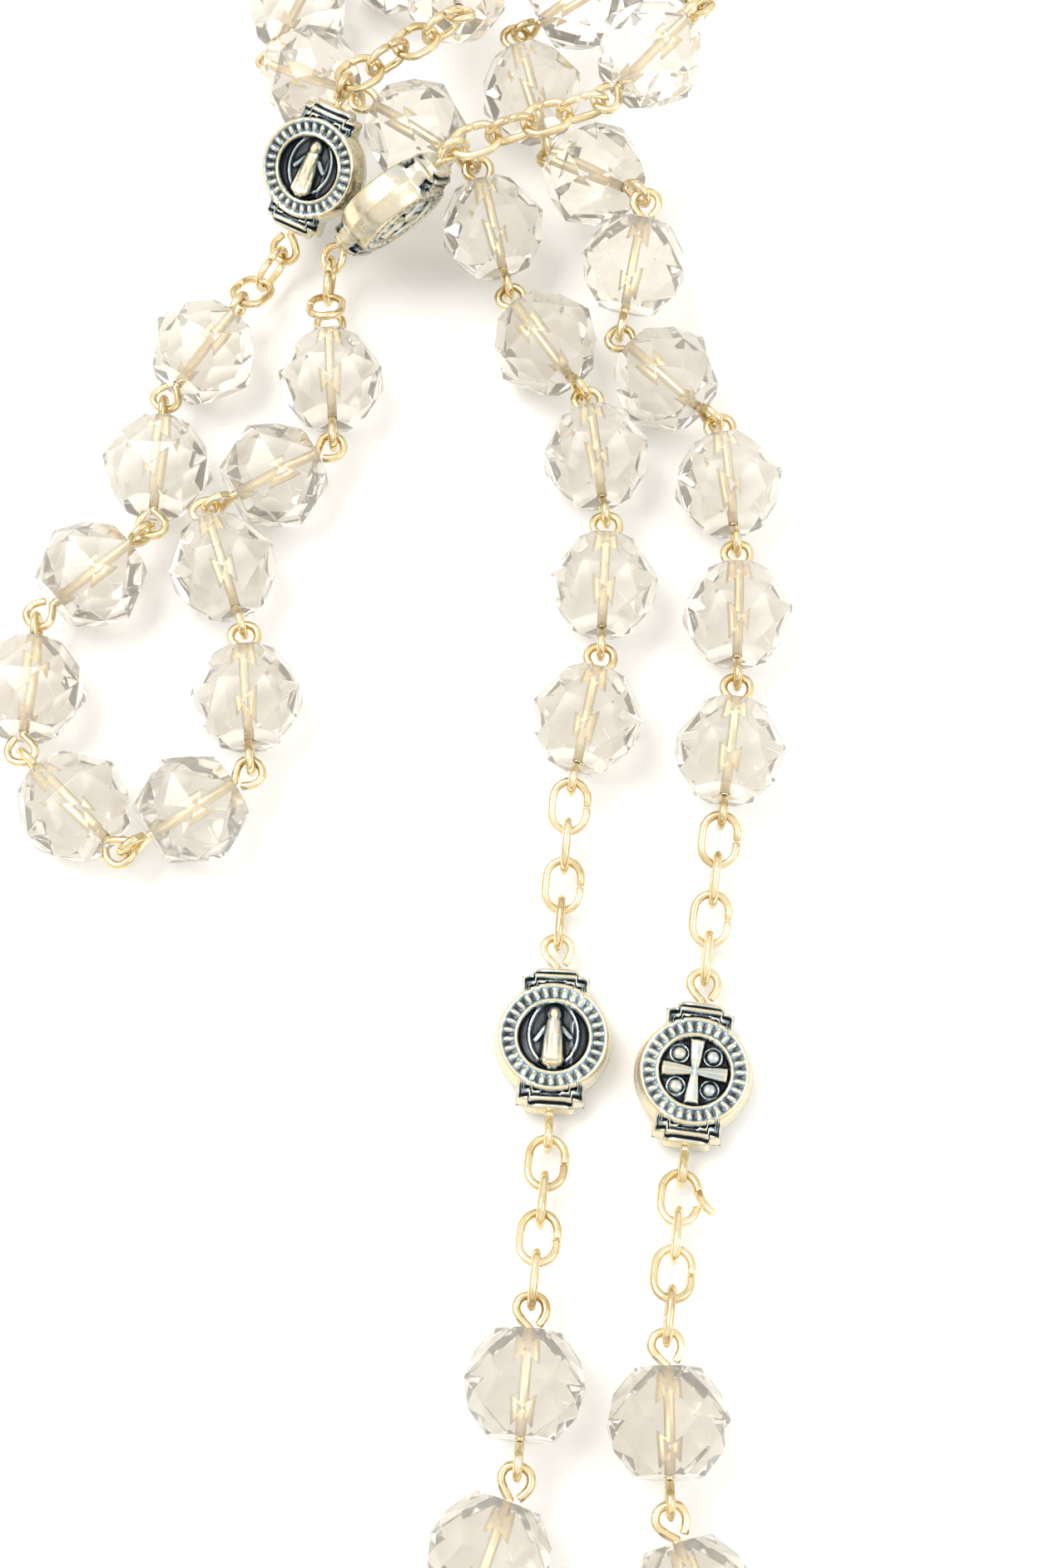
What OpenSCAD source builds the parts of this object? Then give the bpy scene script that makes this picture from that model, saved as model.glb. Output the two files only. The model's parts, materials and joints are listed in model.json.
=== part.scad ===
// Rosary laid down on a table: five decades of faceted beads, four medal beads between
// them, a centrepiece with a short pendant, and a cross. Every bead turns on its own
// eye pin, and the pins are joined loop to loop or through short chains of oval links.
// Millimetres, +Z up, +Y away from the viewer. The origin is the middle of the
// centrepiece's back, flat on the table.

/* [Beads] */
// Bead width across the corners of its girdle
bead_d = 8.3; // [7:0.1:8.6]
// Bead length along the bore
bead_len = 6.6; // [5.6:0.1:6.8]
// Width of the flat table at each end of a bead
bead_table_d = 4.6; // [3:0.1:5.4]
// Where the row of facet corners sits, as a share of the half length
bead_break = 0.53; // [0.4:0.01:0.65]

/* [Wire] */
// Wire diameter of the pins and links
wire = 0.6; // [0.4:0.05:0.7]
// Air between two wires hooked on each other
wire_gap = 0.15; // [0.1:0.05:0.25]
// How much wider a bore is than its wire
bore_gap = 0.15; // [0.05:0.05:0.2]
// Length and width of a pin's eye, between wire centres
eye = 2; // [1.8:0.1:2.2]
// Straight wire between a bead and its eye
neck = 0.35; // [0.25:0.05:0.5]
// Chain link length between wire centres
link_len = 3.5; // [3.2:0.1:3.7]
// Chain link width between wire centres
link_wid = 2.4; // [2:0.1:2.6]

/* [Medal beads] */
// Disc diameter of a medal bead
medal_d = 8; // [7:0.1:8.4]
// Thickness over the raised rims
medal_t = 3.5; // [3:0.1:3.6]
// Length over the two collars, along the bore
medal_len = 10; // [9.4:0.1:10.4]

/* [Centrepiece and cross] */
// Disc diameter of the centrepiece
centre_d = 14; // [12:0.5:15]
// Thickness of the centrepiece
centre_t = 3; // [3:0.1:4]
// Height of the cross without its eye
cross_len = 35; // [30:1:38]
// Width over the arms
cross_wid = 22; // [18:1:26]
// Thickness of the cross
cross_t = 2.5; // [2.5:0.1:3]
// Width of the bars of the cross
cross_bar = 4; // [3.5:0.1:5]

/* [Hidden] */
$fn = 48;
reach = wire + wire_gap;
eye_r = 0.7;
link_r = 0.9;
bore_d = wire + bore_gap;
// Height of a bead's axis when it lies on a girdle facet, and of a medal bead's axis
rest = bead_d / 2 * cos(22.5) + 0.02;
low = 1.8;
// Distance between the two hooking points of a bead, a medal bead and the two link turns
pitch = bead_len + 2 * (neck + eye) - reach;
medal_pitch = medal_len + 2 * (neck + eye) - reach;
link_v = link_len;
link_h = link_len - 2 * reach;
centre_eye = 9;
centre_drop = 10.5;
eye_long = 2.4;

gold = "#c9a24a";
silver = "#8d8f92";
crystal = "#eeeeec";

// ---- where every hooking point is ----

function step(p, h, z, s) =
    let (dz = z - p[2], c = sqrt(s * s - dz * dz)) p + [c * cos(h), c * sin(h), dz];

// Points reached from p by turns [heading, height], each step s[i % len(s)] long
function walk(p, turns, s, i = 0) =
    i == len(turns) ? [p]
    : concat([p], walk(step(p, turns[i][0], turns[i][1], s[i % len(s)]), turns, s, i + 1));

// The same for beads piled on each other, as pairs [start, end]. Where the slope changes,
// the next pin's upright eye starts higher or lower so that the two eyes stay clear.
function climb(p, turns, i = 0, slope = 0) =
    i == len(turns) ? []
    : let (a = p + [0, 0, reach * (slope - (turns[i][1] - p[2]) / pitch)],
           b = step(a, turns[i][0], turns[i][1], pitch))
      concat([[a, b]], climb(b, turns, i + 1, (b[2] - a[2]) / pitch));

// A chain between two fixed points, its slack shared by all links
function spread(a, b, s, i = 0, done = 0) =
    let (f = done / sum(s))
    concat([a + (b - a) * f], i == len(s) ? [] : spread(a, b, s, i + 1, done + s[i]));

function sum(v, i = 0) = i == len(v) ? 0 : v[i] + sum(v, i + 1);
function flat(hs, z) = [for (h = hs) [h, z]];
function turns(hs, zs) = [for (i = [0 : len(hs) - 1]) [hs[i], zs[i]]];
function part(v, a, b) = [for (i = [a : b]) v[i]];
function last(v) = v[len(v) - 1];
function level(v, z) = [v[0], v[1], z];

bead_s = [pitch];
medal_s = [medal_pitch];
hv = [link_h, link_v, link_h, link_v];
vh = [link_v, link_h, link_v, link_h];
fall = [3.3, 2.3, low, low];
rise = [2.2, 3.35, rest, rest];

// Second and fourth decade leave the pile side by side
join_2 = [0.2, 164.7, rest];
join_4 = [10, 162.4, rest];
dec_2_low = walk(join_2, flat([-83, -93, -102], rest), bead_s);
dec_4_low = walk(join_4, flat([-85, -92, -98], rest), bead_s);
dec_2_up = climb(join_2, turns([123, 104, 148, 141, 68, -7, -84],
                               [rest + 0.15, 6.2, 7.3, 4.15, 4.1, 5, 10]));
dec_4_up = climb(join_4, turns([134, 78, 137, 105, 22, -60, -133],
                               [rest, 7.6, 4.2, 5.8, 9.6, 14.4, 13.6]));

// First decade hangs on the second through the first medal bead
ch_2_bot = walk(last(dec_2_low), turns([-95, -95, -95, -95], fall), hv);
med_1 = walk(last(ch_2_bot), [[-93, low]], medal_s);
ch_1_top = walk(last(med_1), turns([-96, -96, -96, -96], rise), hv);
dec_1 = walk(last(ch_1_top),
             flat([-95, -110, -130, -135, -130, -110, -90, -70, -62, -50], rest), bead_s);

// Fifth decade hangs on the fourth through the fourth medal bead
ch_4_bot = walk(last(dec_4_low), turns([-97, -97, -97, -97], fall), hv);
med_4 = walk(last(ch_4_bot), [[-98, low]], medal_s);
ch_5_top = walk(last(med_4), turns([-97, -97, -97, -97], rise), hv);
dec_5 = walk(last(ch_5_top),
             flat([-90, -75, -55, -45, -50, -70, -90, -110, -114, -124], rest), bead_s);

// Both meet at the centrepiece; the fifth decade's chain stops just outside its eye
eye_1 = centre_eye * [cos(145), sin(145), 0] + [0, 0, 1.6];
eye_5 = (centre_eye + 2 * reach + 0.1) * [cos(35), sin(35), 0] + [0, 0, 1.6];
sink = [rest, 3.3, 2.2, 1.6, 1.6];
ch_1_bot_line = spread(last(dec_1), eye_1, hv);
ch_5_bot_line = spread(last(dec_5), eye_5, hv);
ch_1_bot = [for (i = [0 : 4]) level(ch_1_bot_line[i], sink[i])];
ch_5_bot = [for (i = [0 : 4]) level(ch_5_bot_line[i], sink[i])];

// Pendant
drop_1 = walk([0, -centre_drop, 1.6], turns([-96, -98, -100, -102], [1.6, 1.7, low, low]), vh);
med_5 = walk(last(drop_1), [[-120, low]], medal_s);
drop_2 = walk(last(med_5), turns([-138, -144, -150, -156], [low, 2.4, 3.45, rest]), vh);
drop_beads = walk(last(drop_2), flat([185, 160, 135], rest), bead_s);
drop_3 = walk(last(drop_beads), turns([122, 118, 114, 110], [rest, 3.3, 2.3, low]), vh);
med_6 = walk(last(drop_3), [[100, low]], medal_s);
drop_4 = walk(last(med_6), turns([95, 92, 90], [low, 1.6, 1.6]), vh);
cross_at = last(drop_4);

// Third decade hangs between the two medal beads of the pile
med_2 = walk([-17.6, 188, 11.5], [[-118, 3.2]], medal_s);
med_3 = walk([-9, 181.3, 12.5], [[-156, 4]], medal_s);
ch_2_top = spread(last(dec_2_up)[1], med_2[0] - [0, 0, 0.5], vh);
ch_4_top = spread(last(dec_4_up)[1], med_3[0] - [0, 0, 0.35], vh);
ch_3_first = walk(level(med_2[1], 3), turns([-122, -118], [3, rest]), vh);
dec_3 = walk(last(ch_3_first),
             flat([-122, -92, -137, -92, -45, 35, 95, 108, 30, 93], rest), bead_s);
ch_3_last = walk(level(med_3[1], 3.7), turns([-95, -90], [3.7, 4.8]), vh);

// ---- building blocks ----

// Children drawn along +X are laid from a towards b, kept upright
module along(a, b)
{
    d = b - a;
    translate(a)
        rotate([0, -atan2(d[2], norm([d[0], d[1]])), atan2(d[1], d[0])])
            children();
}

module rod(l, d)
{
    rotate([0, 90, 0])
        cylinder(h = l, d = d);
}

// Closed wire ring in the XY plane from x = 0 to x = l, between wire centres
module ring(l, w, r)
{
    for (m = [0, 1])
        mirror([0, m, 0])
        {
            translate([r, w / 2 - r, 0])
                rotate([0, 0, 90])
                    rotate_extrude(angle = 90)
                        translate([r, 0])
                            circle(d = wire);
            translate([l - r, w / 2 - r, 0])
                rotate_extrude(angle = 90)
                    translate([r, 0])
                        circle(d = wire);
            translate([r, w / 2, 0])
                rod(l - 2 * r, wire);
        }
    for (x = [0, l])
        translate([x, r - w / 2, 0])
            rotate([-90, 0, 0])
                cylinder(h = w - 2 * r, d = wire);
}

// Wire pin with an eye at each end, one eye lying flat and the other upright
module pin(body, flat_first)
{
    start = flat_first ? -reach : 0;
    l = body + 2 * (neck + eye);
    translate([start, 0, 0])
        rotate([flat_first ? 0 : 90, 0, 0])
            ring(eye, eye, eye_r);
    translate([start + l - eye, 0, 0])
        rotate([flat_first ? 90 : 0, 0, 0])
            ring(eye, eye, eye_r);
    translate([start + eye, 0, 0])
        rod(l - 2 * eye, wire);
}

function middle(body, flat_first) =
    (flat_first ? -reach : 0) + body / 2 + neck + eye;

module pins_up(units)
{
    for (u = units)
        along(u[0], u[1])
            pin(bead_len, false);
}

module pins(v, flat_first)
{
    for (i = [0 : len(v) - 2])
        along(v[i], v[i + 1])
            pin(bead_len, flat_first);
}

// Crystal bead: two tables, two rows of facets each side and an eight-sided girdle
module bead()
{
    h = bead_len / 2;
    table_r = bead_table_d / 2;
    row_r = (bead_d / 2 + (table_r - bead_d / 2) * bead_break) / cos(22.5);
    xs = [-h, -h * bead_break, 0, h * bead_break, h];
    rs = [table_r, row_r, bead_d / 2, row_r, table_r];
    points = [for (k = [0 : 4], i = [0 : 7])
        let (a = 45 * i + (k % 2 == 0 ? 22.5 : 0))
            [xs[k], rs[k] * cos(a), rs[k] * sin(a)]];
    wedges = [for (q = [[0, 1], [2, 1], [2, 3], [4, 3]], i = [0 : 7])
        let (a = q[0] * 8 + i, b = q[0] * 8 + (i + 1) % 8, c = q[1] * 8 + (i + 1) % 8)
            q[0] < q[1] ? [a, c, b] : [a, b, c]];
    kites = [for (q = [[0, 1, 2], [2, 3, 4]], i = [0 : 7])
        let (j = (i + 1) % 8)
            [q[0] * 8 + i, q[1] * 8 + i, q[2] * 8 + i, q[1] * 8 + j]];
    difference()
    {
        polyhedron(points, concat([[for (i = [0 : 7]) i], [for (i = [0 : 7]) 39 - i]],
                                  wedges, kites));
        translate([-h - 1, 0, 0])
            rod(2 * h + 2, bore_d);
    }
}

module beads(v, flat_first)
{
    for (i = [0 : len(v) - 2])
        along(v[i], v[i + 1])
            translate([middle(bead_len, flat_first), 0, 0])
                bead();
}

module beads_up(units)
{
    for (u = units)
        along(u[0], u[1])
            translate([middle(bead_len, false), 0, 0])
                bead();
}

module chain(v, flat_first)
{
    for (i = [0 : len(v) - 2])
        along(v[i], v[i + 1])
            translate([(norm(v[i + 1] - v[i]) - link_len) / 2, 0, 0])
                rotate([(i % 2 == 0) == flat_first ? 0 : 90, 0, 0])
                    ring(link_len, link_wid, link_r);
}

// Raised rim of a disc with a row of pearls on it
module rim(d, z, n)
{
    translate([0, 0, z])
        difference()
        {
            cylinder(h = 0.2, d = d);
            translate([0, 0, -0.1])
                cylinder(h = 0.5, d = d - 2.2);
        }
    for (i = [0 : n - 1])
        rotate([0, 0, 360 * i / n])
            translate([d / 2 - 0.55, 0, z + 0.1])
                sphere(d = 0.6, $fn = 24);
}

// A plain robed figure, head towards +Y, rising t above the z = 0 plane
module figure(h, t)
{
    translate([0, h * 0.38, t - h * 0.12])
        sphere(d = h * 0.24);
    translate([0, -h * 0.45, t - h * 0.2])
        rotate([-90, 0, 0])
            cylinder(h = h * 0.75, d1 = h * 0.4, d2 = h * 0.3);
    for (m = [0, 1])
        mirror([m, 0, 0])
            translate([h * 0.04, h * 0.14, t - h * 0.06])
                rotate([0, 90, -50])
                    cylinder(h = h * 0.24, d = h * 0.1);
}

// Disc bead with a robed figure on the upper side and a cross in a ring underneath
module medal(roll)
{
    plate = medal_t - 0.8;
    rotate([roll, 0, 0])
        difference()
        {
            union()
            {
                translate([0, 0, -plate / 2])
                    cylinder(h = plate, d = medal_d);
                translate([-medal_len / 2, 0, 0])
                    rod(medal_len, 3);
                cube([medal_len - 1.4, 4.6, plate - 0.4], center = true);
                rim(medal_d, plate / 2, 20);
                rotate([180, 0, 0])
                    rim(medal_d, plate / 2, 20);
                translate([0, 0, plate / 2])
                    rotate([0, 0, 90])
                        figure(4.6, 0.4);
                translate([0, 0, -plate / 2])
                    cross_boss();
            }
            translate([-medal_len / 2 - 1, 0, 0])
                rod(medal_len + 2, bore_d);
        }
}

module cross_boss()
{
    cube([4.6, 0.9, 0.5], center = true);
    cube([0.9, 4.6, 0.5], center = true);
    for (i = [0 : 3])
        rotate([0, 0, 90 * i + 45])
            translate([1.5, 0, 0])
                sphere(d = 0.8);
}

module medal_bead(v, flat_first, roll)
{
    along(v[0], v[1])
        translate([middle(medal_len, flat_first), 0, 0])
            medal(roll);
}

module medal_pin(v, flat_first)
{
    along(v[0], v[1])
        pin(medal_len, flat_first);
}

// ---- one module per named sub-part ----

module decade_2_upper_beads() color(crystal) beads_up(dec_2_up);
module decade_2_upper_pins() color(gold) pins_up(dec_2_up);
module decade_4_upper_beads() color(crystal) beads_up(dec_4_up);
module decade_4_upper_pins() color(gold) pins_up(dec_4_up);
module chain_2_top() color(gold) chain(ch_2_top, false);
module chain_4_top() color(gold) chain(ch_4_top, false);
module medal_bead_2() color(silver) medal_bead(med_2, false, 0);
module medal_pin_2() color(gold) medal_pin(med_2, false);
module medal_bead_3() color(silver) medal_bead(med_3, false, 67);
module medal_pin_3() color(gold) medal_pin(med_3, false);

module decade_2_lower_beads() color(crystal) beads(dec_2_low, true);
module decade_2_lower_pins() color(gold) pins(dec_2_low, true);
module chain_2_bottom() color(gold) chain(ch_2_bot, true);
module medal_bead_1() color(silver) medal_bead(med_1, true, 0);
module medal_pin_1() color(gold) medal_pin(med_1, true);
module chain_1_top() color(gold) chain(ch_1_top, true);
module decade_1_beads_a() color(crystal) beads(part(dec_1, 0, 5), true);
module decade_1_pins_a() color(gold) pins(part(dec_1, 0, 5), true);
module decade_1_beads_b() color(crystal) beads(part(dec_1, 5, 10), true);
module decade_1_pins_b() color(gold) pins(part(dec_1, 5, 10), true);
module chain_1_bottom() color(gold) chain(ch_1_bot, true);

module decade_4_lower_beads() color(crystal) beads(dec_4_low, true);
module decade_4_lower_pins() color(gold) pins(dec_4_low, true);
module chain_4_bottom() color(gold) chain(ch_4_bot, true);
module medal_bead_4() color(silver) medal_bead(med_4, true, 180);
module medal_pin_4() color(gold) medal_pin(med_4, true);
module chain_5_top() color(gold) chain(ch_5_top, true);
module decade_5_beads_a() color(crystal) beads(part(dec_5, 0, 5), true);
module decade_5_pins_a() color(gold) pins(part(dec_5, 0, 5), true);
module decade_5_beads_b() color(crystal) beads(part(dec_5, 5, 10), true);
module decade_5_pins_b() color(gold) pins(part(dec_5, 5, 10), true);
module chain_5_bottom() color(gold) chain(ch_5_bot, true);

module chain_3_first() color(gold) chain(ch_3_first, false);
module decade_3_beads_a() color(crystal) beads(part(dec_3, 0, 3), false);
module decade_3_pins_a() color(gold) pins(part(dec_3, 0, 3), false);
module decade_3_beads_b() color(crystal) beads(part(dec_3, 3, 6), false);
module decade_3_pins_b() color(gold) pins(part(dec_3, 3, 6), false);
module decade_3_beads_c() color(crystal) beads(part(dec_3, 6, 10), false);
module decade_3_pins_c() color(gold) pins(part(dec_3, 6, 10), false);
module chain_3_last() color(gold) chain(ch_3_last, false);

module chain_drop_1() color(gold) chain(drop_1, false);
module medal_bead_5() color(silver) medal_bead(med_5, false, 0);
module medal_pin_5() color(gold) medal_pin(med_5, false);
module chain_drop_2() color(gold) chain(drop_2, false);
module drop_bead_1() color(crystal) beads(part(drop_beads, 0, 1), false);
module drop_pin_1() color(gold) pins(part(drop_beads, 0, 1), false);
module drop_bead_2() color(crystal) beads(part(drop_beads, 1, 2), false);
module drop_pin_2() color(gold) pins(part(drop_beads, 1, 2), false);
module drop_bead_3() color(crystal) beads(part(drop_beads, 2, 3), false);
module drop_pin_3() color(gold) pins(part(drop_beads, 2, 3), false);
module chain_drop_3() color(gold) chain(drop_3, false);
module medal_bead_6() color(silver) medal_bead(med_6, false, 180);
module medal_pin_6() color(gold) medal_pin(med_6, false);
module chain_drop_4() color(gold) chain(drop_4, false);

// Disc with three stepped necks, each ending in an eye
module centrepiece()
{
    color(silver)
    {
        plate = centre_t - 0.4;
        cylinder(h = plate, d = centre_d);
        rim(centre_d, plate, 32);
        translate([0, 0, plate])
            figure(8.4, 1);
        for (a = [[145, centre_eye], [35, centre_eye], [-90, centre_drop]])
            rotate([0, 0, a[0]])
            {
                translate([centre_d / 2 - 1, -2.2, 0.2])
                    cube([1.9, 4.4, centre_t - 0.8]);
                translate([0, -1.4, 0.4])
                    cube([a[1] + reach - eye_long, 2.8, centre_t - 1.2]);
                translate([a[1] + reach - eye_long, 0, centre_t / 2])
                    ring(eye_long, eye_long, eye_r);
            }
    }
}

// Latin cross lying on its back, its eye towards the chain; +X runs down its foot
module cross_frame()
{
    translate([cross_at[0], cross_at[1], 0])
        rotate([0, 0, 88])
            translate([eye_long - reach - 0.2, 0, 0])
                children();
}

module cross()
{
    arm_x = cross_len * 0.3;
    knob = cross_bar + 1.6;
    color(silver)
        cross_frame()
        {
            translate([0, -cross_bar / 2, 0])
                cube([cross_len, cross_bar, cross_t]);
            translate([arm_x - cross_bar / 2, -cross_wid / 2, 0])
                cube([cross_bar, cross_wid, cross_t]);
            for (p = [[knob / 2, 0], [cross_len - knob / 2, 0],
                      [arm_x, (cross_wid - knob) / 2], [arm_x, (knob - cross_wid) / 2]])
                translate([p[0], p[1], 0])
                    cylinder(h = cross_t, d = knob);
            translate([-eye_long + 0.2, 0, cross_t / 2])
                ring(eye_long, eye_long, eye_r);
        }
}

// Plain figure on the cross, flat against its face
module corpus()
{
    arm_x = cross_len * 0.3;
    color(gold)
        cross_frame()
            translate([arm_x, 0, cross_t])
                intersection()
                {
                    translate([-20, -20, 0])
                        cube([40, 40, 5]);
                    union()
                    {
                        translate([-1.6, 0, 0.7])
                            sphere(d = 2.4);
                        translate([-1, 0, 0.4])
                            rod(1.2, 1.2);
                        translate([-0.4, 0, 0.3])
                            rotate([0, 90, 0])
                                cylinder(h = 6, d1 = 3, d2 = 2);
                        translate([4.6, 0, 0.3])
                            rotate([0, 90, 0])
                                cylinder(h = 2.6, d1 = 2.4, d2 = 3);
                        for (m = [0, 1])
                            mirror([0, m, 0])
                            {
                                translate([0.2, 0.6, 0.3])
                                    rotate([-90, 0, 8])
                                        cylinder(h = 7.4, d1 = 1.5, d2 = 0.9);
                                translate([6.6, 0.5, 0.3])
                                    rotate([0, 90, 0])
                                        cylinder(h = 8, d1 = 1.5, d2 = 1);
                            }
                    }
                }
}

decade_2_upper_beads();
decade_2_upper_pins();
decade_4_upper_beads();
decade_4_upper_pins();
chain_2_top();
chain_4_top();
medal_bead_2();
medal_pin_2();
medal_bead_3();
medal_pin_3();
decade_2_lower_beads();
decade_2_lower_pins();
chain_2_bottom();
medal_bead_1();
medal_pin_1();
chain_1_top();
decade_1_beads_a();
decade_1_pins_a();
decade_1_beads_b();
decade_1_pins_b();
chain_1_bottom();
decade_4_lower_beads();
decade_4_lower_pins();
chain_4_bottom();
medal_bead_4();
medal_pin_4();
chain_5_top();
decade_5_beads_a();
decade_5_pins_a();
decade_5_beads_b();
decade_5_pins_b();
chain_5_bottom();
chain_3_first();
decade_3_beads_a();
decade_3_pins_a();
decade_3_beads_b();
decade_3_pins_b();
decade_3_beads_c();
decade_3_pins_c();
chain_3_last();
chain_drop_1();
medal_bead_5();
medal_pin_5();
chain_drop_2();
drop_bead_1();
drop_pin_1();
drop_bead_2();
drop_pin_2();
drop_bead_3();
drop_pin_3();
chain_drop_3();
medal_bead_6();
medal_pin_6();
chain_drop_4();
centrepiece();
cross();
corpus();
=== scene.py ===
import json
import math

import bmesh
import bpy
import numpy as np
from mathutils import Matrix, Vector


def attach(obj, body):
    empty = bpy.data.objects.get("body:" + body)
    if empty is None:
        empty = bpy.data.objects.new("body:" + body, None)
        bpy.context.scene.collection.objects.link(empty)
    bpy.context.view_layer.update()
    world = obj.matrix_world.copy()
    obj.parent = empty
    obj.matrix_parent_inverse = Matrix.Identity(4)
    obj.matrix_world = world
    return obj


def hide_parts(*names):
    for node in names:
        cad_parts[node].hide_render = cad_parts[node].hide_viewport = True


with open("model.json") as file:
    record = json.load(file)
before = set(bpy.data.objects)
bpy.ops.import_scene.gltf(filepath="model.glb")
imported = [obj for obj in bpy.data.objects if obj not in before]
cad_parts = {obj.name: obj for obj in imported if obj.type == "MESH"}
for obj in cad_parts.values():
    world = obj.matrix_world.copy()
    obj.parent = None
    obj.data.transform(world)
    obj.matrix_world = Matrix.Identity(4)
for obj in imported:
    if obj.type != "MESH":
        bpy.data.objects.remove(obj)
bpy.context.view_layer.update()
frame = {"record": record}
MM = 0.001

# ---- sizes in millimetres, the same as the CAD part's ----

BEAD_D, BEAD_LEN, TABLE_D, BREAK = 8.3, 6.6, 4.6, 0.53
WIRE, GAP, EYE, NECK = 0.6, 0.15, 2.0, 0.35
LINK_LEN, LINK_WID = 3.5, 2.4
MEDAL_LEN = 10.0
REACH = WIRE + GAP
BORE = WIRE + GAP
REST, LOW = BEAD_D / 2 * math.cos(math.radians(22.5)) + 0.02, 1.8
PITCH = BEAD_LEN + 2 * (NECK + EYE) - REACH
MEDAL_PITCH = MEDAL_LEN + 2 * (NECK + EYE) - REACH
LINK_V, LINK_H = LINK_LEN, LINK_LEN - 2 * REACH
HV, VH = [LINK_H, LINK_V] * 2, [LINK_V, LINK_H] * 2

# ---- details that only the visual pieces have ----

WIRE_SIDES, CUT_EDGE = 12, 0.06
LINE_STEPS = 4
SEAM_GAP, OPEN_GAP, OPEN_BEND = 0.09, 1.0, 0.7
RIM_SHADE, RIM_FROM = 0.9, 0.925
FLOOR_Z, FLOOR_HALF, FLOOR_LINES = -0.02, 900, 13


# ---- where every hooking point is ----


def step(p, heading, z, length):
    dz = z - p[2]
    flat = math.sqrt(length * length - dz * dz)
    a = math.radians(heading)
    return p + np.array([flat * math.cos(a), flat * math.sin(a), dz])


def walk(start, turns, lengths):
    points = [np.array(start, float)]
    for i, (heading, z) in enumerate(turns):
        points.append(step(points[-1], heading, z, lengths[i % len(lengths)]))
    return points


def climb(start, turns):
    units, p, slope = [], np.array(start, float), 0.0
    for heading, z in turns:
        a = p + np.array([0, 0, REACH * (slope - (z - p[2]) / PITCH)])
        b = step(a, heading, z, PITCH)
        units.append((a, b))
        p, slope = b, (b[2] - a[2]) / PITCH
    return units


def spread(a, b, lengths, heights=None):
    a, b = np.array(a, float), np.array(b, float)
    done = [sum(lengths[:i]) / sum(lengths) for i in range(len(lengths) + 1)]
    points = [a + (b - a) * f for f in done]
    for p, z in zip(points, heights or []):
        p[2] = z
    return points


def flat(headings, z):
    return [(h, z) for h in headings]


def level(p, z):
    return np.array([p[0], p[1], z])


def polar(r, degrees, z):
    a = math.radians(degrees)
    return [r * math.cos(a), r * math.sin(a), z]


FALL, RISE = [3.3, 2.3, LOW, LOW], [2.2, 3.35, REST, REST]
SINK = [REST, 3.3, 2.2, 1.6, 1.6]
CENTRE_EYE, CENTRE_DROP = 9, 10.5

join_2, join_4 = [0.2, 164.7, REST], [10, 162.4, REST]
dec_2_low = walk(join_2, flat([-83, -93, -102], REST), [PITCH])
dec_4_low = walk(join_4, flat([-85, -92, -98], REST), [PITCH])
dec_2_up = climb(join_2, [(123, REST + 0.15), (104, 6.2), (148, 7.3), (141, 4.15),
                          (68, 4.1), (-7, 5), (-84, 10)])
dec_4_up = climb(join_4, [(134, REST), (78, 7.6), (137, 4.2), (105, 5.8),
                          (22, 9.6), (-60, 14.4), (-133, 13.6)])
ch_2_bot = walk(dec_2_low[-1], zip([-95] * 4, FALL), HV)
med_1 = walk(ch_2_bot[-1], [(-93, LOW)], [MEDAL_PITCH])
ch_1_top = walk(med_1[-1], zip([-96] * 4, RISE), HV)
dec_1 = walk(ch_1_top[-1],
             flat([-95, -110, -130, -135, -130, -110, -90, -70, -62, -50], REST), [PITCH])
ch_4_bot = walk(dec_4_low[-1], zip([-97] * 4, FALL), HV)
med_4 = walk(ch_4_bot[-1], [(-98, LOW)], [MEDAL_PITCH])
ch_5_top = walk(med_4[-1], zip([-97] * 4, RISE), HV)
dec_5 = walk(ch_5_top[-1],
             flat([-90, -75, -55, -45, -50, -70, -90, -110, -114, -124], REST), [PITCH])
ch_1_bot = spread(dec_1[-1], polar(CENTRE_EYE, 145, 1.6), HV, SINK)
ch_5_bot = spread(dec_5[-1], polar(CENTRE_EYE + 2 * REACH + 0.1, 35, 1.6), HV, SINK)
drop_1 = walk([0, -CENTRE_DROP, 1.6], [(-96, 1.6), (-98, 1.7), (-100, LOW), (-102, LOW)], VH)
med_5 = walk(drop_1[-1], [(-120, LOW)], [MEDAL_PITCH])
drop_2 = walk(med_5[-1], [(-138, LOW), (-144, 2.4), (-150, 3.45), (-156, REST)], VH)
drop_beads = walk(drop_2[-1], flat([185, 160, 135], REST), [PITCH])
drop_3 = walk(drop_beads[-1], [(122, REST), (118, 3.3), (114, 2.3), (110, LOW)], VH)
med_6 = walk(drop_3[-1], [(100, LOW)], [MEDAL_PITCH])
drop_4 = walk(med_6[-1], [(95, LOW), (92, 1.6), (90, 1.6)], VH)
med_2 = walk([-17.6, 188, 11.5], [(-118, 3.2)], [MEDAL_PITCH])
med_3 = walk([-9, 181.3, 12.5], [(-156, 4)], [MEDAL_PITCH])
ch_2_top = spread(dec_2_up[-1][1], med_2[0] - [0, 0, 0.5], VH)
ch_4_top = spread(dec_4_up[-1][1], med_3[0] - [0, 0, 0.35], VH)
ch_3_first = walk(level(med_2[1], 3), [(-122, 3), (-118, REST)], VH)
dec_3 = walk(ch_3_first[-1],
             flat([-122, -92, -137, -92, -45, 35, 95, 108, 30, 93], REST), [PITCH])
ch_3_last = walk(level(med_3[1], 3.7), [(-95, 3.7), (-90, 4.8)], VH)


def pairs(points):
    return list(zip(points, points[1:]))


# ---- meshes ----


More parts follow.
